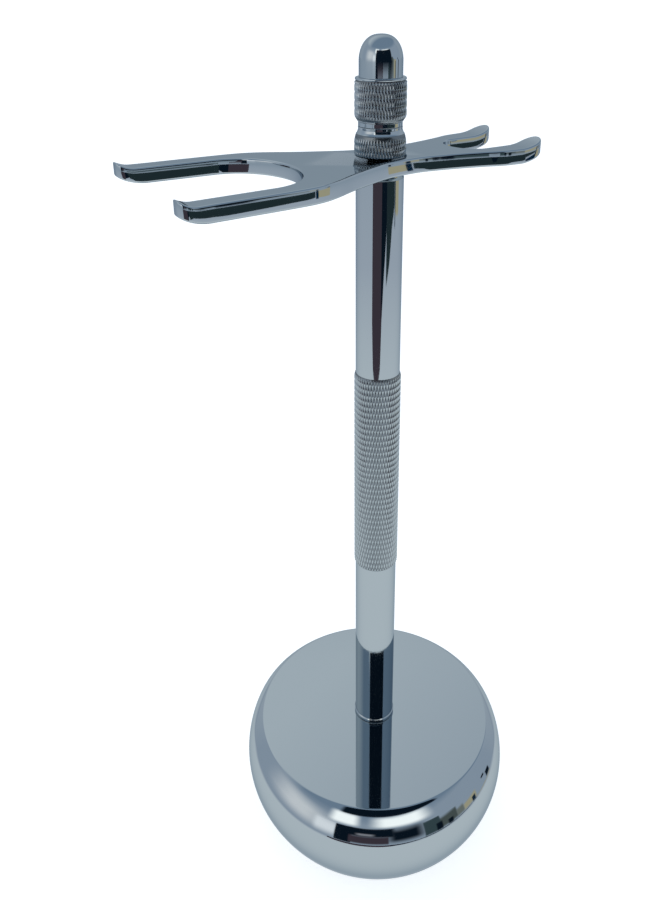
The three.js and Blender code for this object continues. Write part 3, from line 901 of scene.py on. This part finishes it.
EYE_HEIGHT = 0.04  # heights of far cards are given as elevations seen from here
CARD_FACET = 6.0  # degrees of a curved card that one facet spans
BLACK = (0.004, 0.010, 0.019)
BROWN = (0.061, 0.047, 0.061)
TEAL = (0.05, 0.08, 0.09)
MOSS = (0.09, 0.11, 0.105)
REED = (0.20, 0.22, 0.20)
BEIGE = (0.50, 0.45, 0.30)
BLUE = (0.001, 0.019, 0.047)
WHITE = (1.5, 1.5, 1.46)
SOFT_WHITE = (0.85, 0.86, 0.88)
BRIGHT = (1.05, 1.07, 1.10)
PALE_STRIPE = (0.30, 0.30, 0.33)
FLOOR_WHITE = (0.66, 0.72, 0.76)
FLOOR_PALE = (0.485, 0.54, 0.62)
FLOOR_FAR = (0.37, 0.44, 0.52)
WALL = (0.36, 0.43, 0.52)
WALL_SIDE = (0.46, 0.52, 0.59)
WALL_BACK = (0.51, 0.57, 0.62)
CEILING = (0.22, 0.30, 0.40)
CEILING_MIDDLE = (0.39, 0.46, 0.54)
CEILING_BACK = (0.585, 0.65, 0.70)
CEILING_LIGHT = 0.5  # strength of the light from above
CEILING_SPREAD = 120  # how wide that light is, in degrees
FLOOR_GLOW = 0.64
PALE_CEILING_AZIMUTH = -145
FLOOR_HALF = 9  # half the floor's width, in metres


def glow(name, colour):
    """A material that only gives off light, for reflection cards. A colour of 1.0 shows as full white."""
    material = bpy.data.materials.new(name)
    material.use_nodes = True
    nodes = material.node_tree.nodes
    nodes.clear()
    emission = nodes.new("ShaderNodeEmission")
    emission.inputs["Color"].default_value = (*colour, 1)
    output = nodes.new("ShaderNodeOutputMaterial")
    material.node_tree.links.new(emission.outputs["Emission"], output.inputs["Surface"])
    return material


def smooth_step(nodes, links, value, start, end):
    node = nodes.new("ShaderNodeMapRange")
    node.interpolation_type = "SMOOTHSTEP"
    node.inputs["From Min"].default_value = start
    node.inputs["From Max"].default_value = end
    links.new(value, node.inputs["Value"])
    return node.outputs["Result"]


def multiplied(nodes, links, first, second):
    node = nodes.new("ShaderNodeMath")
    node.operation = "MULTIPLY"
    links.new(first, node.inputs[0])
    links.new(second, node.inputs[1])
    return node.outputs["Value"]


def soft_glow(name, colour, soft):
    """A glow that fades out towards a card's edges, over the shares of its width and height in soft."""
    material = glow(name, colour)
    nodes = material.node_tree.nodes
    links = material.node_tree.links
    apart = nodes.new("ShaderNodeSeparateXYZ")
    links.new(nodes.new("ShaderNodeTexCoord").outputs["UV"], apart.inputs["Vector"])
    fades = []
    for axis, share in zip(("X", "Y"), soft):
        for start, end in ((0.0, share), (1.0, 1.0 - share)):
            fades.append(smooth_step(nodes, links, apart.outputs[axis], start, end))
    cover = fades[0]
    for fade in fades[1:]:
        cover = multiplied(nodes, links, cover, fade)
    mix = nodes.new("ShaderNodeMixShader")
    links.new(cover, mix.inputs["Fac"])
    links.new(nodes.new("ShaderNodeBsdfTransparent").outputs["BSDF"], mix.inputs[1])
    links.new(nodes["Emission"].outputs["Emission"], mix.inputs[2])
    links.new(mix.outputs["Shader"], nodes["Material Output"].inputs["Surface"])
    return material


def around(azimuth, distance, height):
    """The place at an azimuth, a distance from the post's axis and a height above the floor."""
    turn = math.radians(azimuth)
    level = TOWARDS * math.cos(turn) + RIGHTWARDS * math.sin(turn)
    return level * distance + Vector((0, 0, height))


def only_reflected(obj, material):
    """Makes a stage piece that only reflections show, which neither lights nor shades anything else."""
    obj.data.materials.append(material)
    obj.visible_camera = False
    obj.visible_diffuse = False
    obj.visible_shadow = False


def upright_card(name, azimuths, heights, distance, material):
    """An upright card, curved round the post's axis, with its width and height as UV."""
    left, right = azimuths
    low, high = heights
    steps = max(1, round((right - left) / CARD_FACET))
    shares = [k / steps for k in range(steps + 1)]
    vertices = []
    for share in shares:
        vertices += [around(left + (right - left) * share, distance, height) for height in (low, high)]
    faces = [(2 * k, 2 * k + 2, 2 * k + 3, 2 * k + 1) for k in range(steps)]
    obj = new_object(name, vertices, faces)
    places = obj.data.uv_layers.new(name="card").data
    for loop in obj.data.loops:
        places[loop.index].uv = (shares[loop.vertex_index // 2], loop.vertex_index % 2)
    only_reflected(obj, material)


def far_card(name, azimuths, elevations, colour, distance, soft):
    """An upright card that spans these azimuths and elevations, with soft edges."""
    heights = [max(0.0, EYE_HEIGHT + distance * math.tan(math.radians(e))) for e in elevations]
    upright_card(name, azimuths, heights, distance, soft_glow(name + "_glow", colour, soft))


def floor_card(name, corners, height, colour):
    """A card flat on the floor, at a height that keeps it clear of the others."""
    places = [around(azimuth, distance, height) for azimuth, distance in corners]
    only_reflected(new_object(name, places, [tuple(range(len(places)))]), glow(name + "_glow", colour))


def make_floor():
    corners = [(x * FLOOR_HALF, y * FLOOR_HALF, 0) for x, y in ((-1, -1), (1, -1), (1, 1), (-1, 1))]
    floor = new_object("floor", corners, [(0, 1, 2, 3)])
    material, nodes, links, shader = node_material("floor_paper")
    coordinates = nodes.new("ShaderNodeTexCoord").outputs["Object"]
    tone = noise(nodes, links, coordinates, 3, 2)
    paper = ramp(nodes, links, tone, [(0.3, grey(0.93)), (0.7, grey(0.95))])
    links.new(paper, shader.inputs["Base Color"])
    shader.inputs["Roughness"].default_value = 0.8
    shader.inputs["Specular IOR Level"].default_value = 0.1
    shader.inputs["Emission Color"].default_value = (1.0, 1.0, 1.0, 1)
    shader.inputs["Emission Strength"].default_value = FLOOR_GLOW
    floor.data.materials.append(material)
    floor.visible_glossy = False


RINGS = 20
RING_SIDES = 48
INNER_RING = 0.029  # just inside the radius of the base's rim
OUTER_RING = 7.0
RING_HEIGHT = 0.0003  # clear of the floor
DIMMING_END = 1.2  # from this distance on, the floor gets no dimmer


def make_floor_rings():
    """The floor as the chrome sees it: white near the stand, then dimmer with distance."""
    vertices = []
    for i in range(RINGS + 1):
        distance = INNER_RING * (OUTER_RING / INNER_RING) ** (i / RINGS)
        vertices += [around(360 * k / RING_SIDES, distance, RING_HEIGHT) for k in range(RING_SIDES)]
    faces = []
    for i in range(RINGS):
        inner = i * RING_SIDES
        outer = inner + RING_SIDES
        for k in range(RING_SIDES):
            n = (k + 1) % RING_SIDES
            faces.append((inner + k, inner + n, outer + n, outer + k))
    obj = new_object("card_floor", vertices, faces)
    material = glow("card_floor_glow", FLOOR_WHITE)
    nodes = material.node_tree.nodes
    links = material.node_tree.links
    coordinates = nodes.new("ShaderNodeTexCoord").outputs["Object"]
    reach = nodes.new("ShaderNodeVectorMath")
    reach.operation = "LENGTH"
    links.new(coordinates, reach.inputs[0])
    span = nodes.new("ShaderNodeMapRange")
    span.inputs["From Min"].default_value = INNER_RING
    span.inputs["From Max"].default_value = DIMMING_END
    links.new(reach.outputs["Value"], span.inputs["Value"])
    colours = [(0.0, FLOOR_WHITE), (0.17, FLOOR_WHITE), (0.36, FLOOR_PALE), (1.0, FLOOR_FAR)]
    tint = ramp(nodes, links, span.outputs["Result"], colours)
    links.new(tint, nodes["Emission"].inputs["Color"])
    only_reflected(obj, material)


# Upright cards in the room, by name, azimuths, elevations, colour, distance, and the shares of their width
# and height over which their edges fade
FAR_CARDS = (
    ("card_dark", (-28, -15), (-3, 25), BLACK, 1.2, (0.08, 0.05)),
    ("card_brown", (-18, 12), (-3, 16), BROWN, 1.17, (0.05, 0.25)),
    ("card_stripe", (-14, 3), (14, 19), PALE_STRIPE, 1.15, (0.3, 0.4)),
    ("card_middle", (-20, 18), (12, 26), BLACK, 1.18, (0.12, 0.2)),
    ("card_black", (6, 42), (-3, 27), BLACK, 1.2, (0.3, 0.35)),
    ("card_teal", (37, 51), (-3, 22), TEAL, 1.19, (0.08, 0.12)),
    ("card_moss", (49, 65), (-3, 18), MOSS, 1.2, (0.1, 0.25)),
    ("card_reed", (63, 71), (-3, 13), REED, 1.19, (0.2, 0.3)),
    ("card_beige", (69, 84), (-3, 10), BEIGE, 1.2, (0.15, 0.3)),
    ("card_blue", (78, 82), (-3, 6), BLUE, 1.15, (0.2, 0.2)),
    ("card_low_1", (46, 52), (-3, 13), BLACK, 1.15, (0.2, 0.2)),
    ("card_low_2", (55, 61), (-3, 8), BLACK, 1.15, (0.3, 0.2)),
    ("card_low_3", (91, 96), (7, 12), BLACK, 1.15, (0.3, 0.3)),
    ("card_low_4", (96, 102), (-3, 8), BLACK, 1.15, (0.2, 0.2)),
    ("card_left_glow", (-95, -22), (-2, 38), SOFT_WHITE, 1.21, (0.45, 0.4)),
    ("card_left_edge", (-46, -24), (-3, 30), BRIGHT, 1.205, (0.25, 0.45)),
    ("card_softbox_left", (-38, -8), (25, 45), WHITE, 1.16, (0.3, 0.35)),
    ("card_softbox_right", (-6, 52), (25, 44), WHITE, 1.16, (0.3, 0.35)),
)

# The darker floor in front of the dark side of the room, as (azimuth, distance) corners
BROWN_FLOOR = (
    (-15, 0.25), (-25, 0.27), (-31, 0.34), (-32, 0.70), (-32, 1.2), (-10, 1.2), (12, 1.2), (38, 1.2),
    (40, 0.70), (35, 0.57), (27, 0.46), (16, 0.34), (11, 0.27), (0, 0.25),
)
BLACK_FLOOR = ((12, 1.2), (38, 1.2), (40, 0.70), (38, 0.57), (27, 0.44), (12, 0.34))
MOSS_FLOOR = ((36, 1.2), (77, 1.2), (77, 0.62), (64, 0.55), (54, 0.46), (44, 0.42), (36, 0.40))
BLUE_FLOOR = ((78, 1.2), (82, 1.2), (82, 0.55), (78, 0.55))
BEIGE_FLOOR = ((82, 1.2), (102, 1.2), (102, 0.60), (82, 0.60))
MOSS_FLOOR_COLOUR = (0.02, 0.035, 0.04)
SCREEN_DISTANCE = 0.19
SCREEN_AZIMUTHS = (-29, 58)
SCREEN_HEIGHTS = (0.172, 0.33)


def make_cards():
    for name, azimuths, elevations, colour, distance, soft in FAR_CARDS:
        far_card(name, azimuths, elevations, colour, distance, soft)
    floor_card("card_floor_brown", BROWN_FLOOR, 0.002, BROWN)
    floor_card("card_floor_black", BLACK_FLOOR, 0.003, BLACK)
    floor_card("card_floor_moss", MOSS_FLOOR, 0.004, MOSS_FLOOR_COLOUR)
    floor_card("card_floor_blue", BLUE_FLOOR, 0.003, BLUE)
    floor_card("card_floor_beige", BEIGE_FLOOR, 0.002, BEIGE)
    # A dark screen close behind the camera, which darkens the middle of the lower post and the base's top
    look = soft_glow("card_screen_glow", BLACK, (0.06, 0.06))
    upright_card("card_screen", SCREEN_AZIMUTHS, SCREEN_HEIGHTS, SCREEN_DISTANCE, look)


def make_lights():
    """The light from a white ceiling, wide enough to leave only a faint shadow."""
    data = bpy.data.lights.new("ceiling", "SUN")
    data.energy = CEILING_LIGHT
    data.angle = math.radians(CEILING_SPREAD)
    ceiling = bpy.data.objects.new("ceiling", data)
    ceiling.visible_glossy = False
    bpy.context.scene.collection.objects.link(ceiling)


def dot_with(nodes, links, direction, axis):
    node = nodes.new("ShaderNodeVectorMath")
    node.operation = "DOT_PRODUCT"
    node.inputs[1].default_value = tuple(axis)
    links.new(direction, node.inputs[0])
    return node.outputs["Value"]


def mixed(nodes, links, factor, first, second):
    node = nodes.new("ShaderNodeMix")
    node.data_type = "RGBA"
    links.new(factor, node.inputs["Factor"])
    links.new(first, node.inputs["A"])
    links.new(second, node.inputs["B"])
    return node.outputs["Result"]


def make_world():
    """The room: walls, palest behind the stand, and above them a ceiling, palest at the left behind it."""
    world = bpy.data.worlds.new("room")
    bpy.context.scene.world = world
    world.use_nodes = True
    nodes = world.node_tree.nodes
    links = world.node_tree.links
    background = nodes["Background"]
    direction = nodes.new("ShaderNodeTexCoord").outputs["Generated"]
    away = dot_with(nodes, links, direction, -TOWARDS)
    bright_side = dot_with(nodes, links, direction, around(PALE_CEILING_AZIMUTH, 1.0, 0.0))
    height = dot_with(nodes, links, direction, (0, 0, 1))
    wall = ramp(nodes, links, away, [(0.3, WALL), (0.7, WALL_SIDE), (1.0, WALL_BACK)])
    stops = [(0.0, CEILING), (0.15, CEILING), (0.35, CEILING_MIDDLE), (0.6, CEILING_BACK)]
    ceiling = ramp(nodes, links, bright_side, stops)
    rise = ramp(nodes, links, height, [(0.56, grey(0)), (0.70, grey(1))])
    links.new(mixed(nodes, links, rise, wall, ceiling), background.inputs["Color"])


# ---- Camera ----

CAMERA_BACK = 0.1724  # from the post's axis
CAMERA_ABOVE_TOP = 0.1865  # above the base's flat top
CAMERA_PITCH = math.radians(22.64)
CAMERA_YAW = math.radians(-3.09)
CAMERA_ROLL = math.radians(-0.57)
CAMERA_LENS = 33.8
CAMERA_SHIFT = (-0.0068, -0.1442)


def make_camera():
    data = bpy.data.cameras.new("camera")
    data.lens = CAMERA_LENS
    data.sensor_width = 36.0
    data.shift_x, data.shift_y = CAMERA_SHIFT
    data.clip_start = 0.005
    camera = bpy.data.objects.new("camera", data)
    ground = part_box("base_shell")[1].z
    level = -TOWARDS * math.cos(CAMERA_YAW) + RIGHTWARDS * math.sin(CAMERA_YAW)
    forward = level * math.cos(CAMERA_PITCH) - Vector((0, 0, 1)) * math.sin(CAMERA_PITCH)
    right = forward.cross(Vector((0, 0, 1))).normalized()
    up = right.cross(forward)
    rolled_right = right * math.cos(CAMERA_ROLL) + up * math.sin(CAMERA_ROLL)
    rolled_up = up * math.cos(CAMERA_ROLL) - right * math.sin(CAMERA_ROLL)
    turn = Matrix((rolled_right, rolled_up, -forward)).transposed().to_4x4()
    place = TOWARDS * CAMERA_BACK + Vector((0, 0, ground + CAMERA_ABOVE_TOP))
    camera.matrix_world = Matrix.Translation(place) @ turn
    bpy.context.scene.collection.objects.link(camera)
    bpy.context.scene.camera = camera


make_camera()
make_base()
make_pad()
make_post()
make_fork()
make_nut()
make_knob()
make_joint_washer("fork_washer", "stand")
make_joint_washer("finial_washer", "finial_washer")
dress_kept_nodes()
make_floor()
make_floor_rings()
make_cards()
make_lights()
make_world()
bpy.context.scene.view_settings.view_transform = "Standard"
